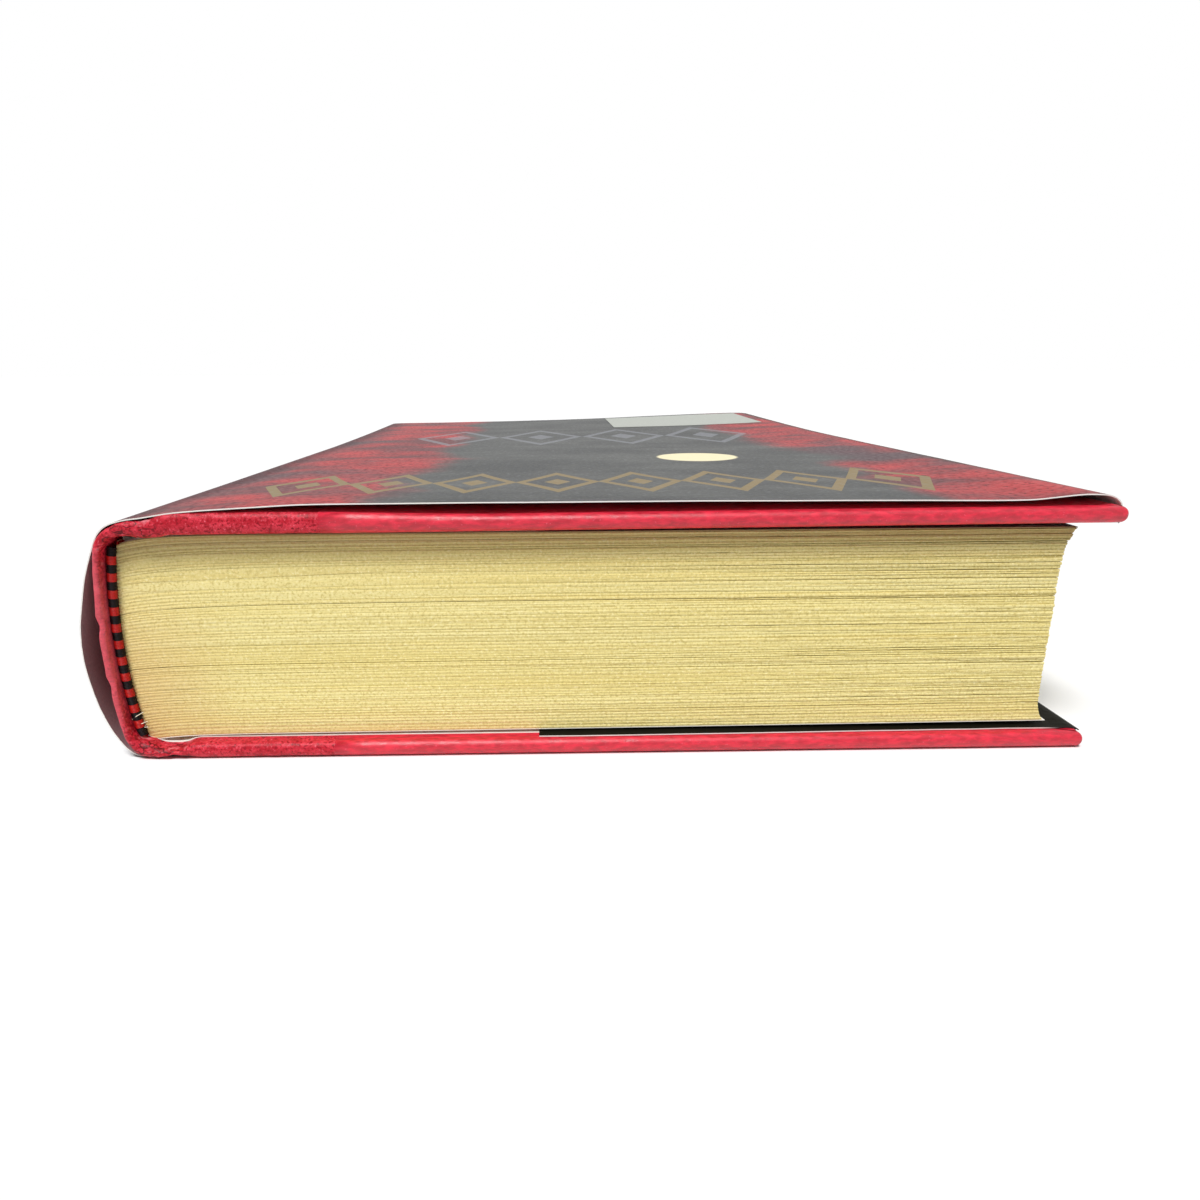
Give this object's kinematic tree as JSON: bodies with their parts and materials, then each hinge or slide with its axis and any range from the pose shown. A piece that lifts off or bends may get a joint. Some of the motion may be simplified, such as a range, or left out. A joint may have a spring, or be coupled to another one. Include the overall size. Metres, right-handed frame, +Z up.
{
  "type": "hardback book",
  "caption": "Thick hardback book with a rounded spine, quarter-bound case, striped end bands and a loose paper jacket; both covers open at their joints.",
  "frame": {"origin": "centre of the overall box on the surface the book lies on, under its back cover", "axes": "+X from spine to fore edge, +Y from tail to head along the spine, +Z up from back cover to front cover"},
  "size_m": [0.1672, 0.241, 0.045],
  "materials": {
    "leaves": "matte",
    "endpaper": "matte",
    "band_silk": "silky",
    "gauze": "matte",
    "kraft_paper": "matte",
    "grey_board": "matte",
    "side_paper": "satin",
    "quarter_cloth": "matte",
    "jacket_paper": "satin",
    "label_paper": "matte"
  },
  "bodies": {
    "text_block": {"page_block": "leaves", "front_flyleaf": "endpaper", "back_flyleaf": "endpaper", "tail_band": "band_silk", "head_band": "band_silk", "mull": "gauze", "spine_lining": "kraft_paper", "spine_inlay": "grey_board", "spine_cloth": "quarter_cloth", "jacket_spine": "jacket_paper"},
    "front_cover": {"front_board": "grey_board", "front_side_paper": "side_paper", "front_quarter_strip": "quarter_cloth", "front_mull_wing": "gauze", "front_pastedown": "endpaper", "front_joint_cloth": "quarter_cloth", "jacket_front": "jacket_paper", "front_joint_jacket": "jacket_paper", "blank_label": "label_paper"},
    "back_cover": {"back_board": "grey_board", "back_side_paper": "side_paper", "back_quarter_strip": "quarter_cloth", "back_mull_wing": "gauze", "back_pastedown": "endpaper", "back_joint_cloth": "quarter_cloth", "jacket_back": "jacket_paper", "back_joint_jacket": "jacket_paper"}
  },
  "joints": [
    {"name": "front_cover_hinge", "type": "hinge", "parent": "text_block", "child": "front_cover", "pos_m": [-0.07645, 0, 0.0379], "axis": [0, -1, 0], "range_deg": [0, 179], "deforming": ["front_joint_cloth", "front_joint_jacket"]},
    {"name": "back_cover_hinge", "type": "hinge", "parent": "text_block", "child": "back_cover", "pos_m": [-0.07645, 0, 0.0031], "axis": [0, 1, 0], "range_deg": [0, 179], "deforming": ["back_joint_cloth", "back_joint_jacket"]}
  ]
}
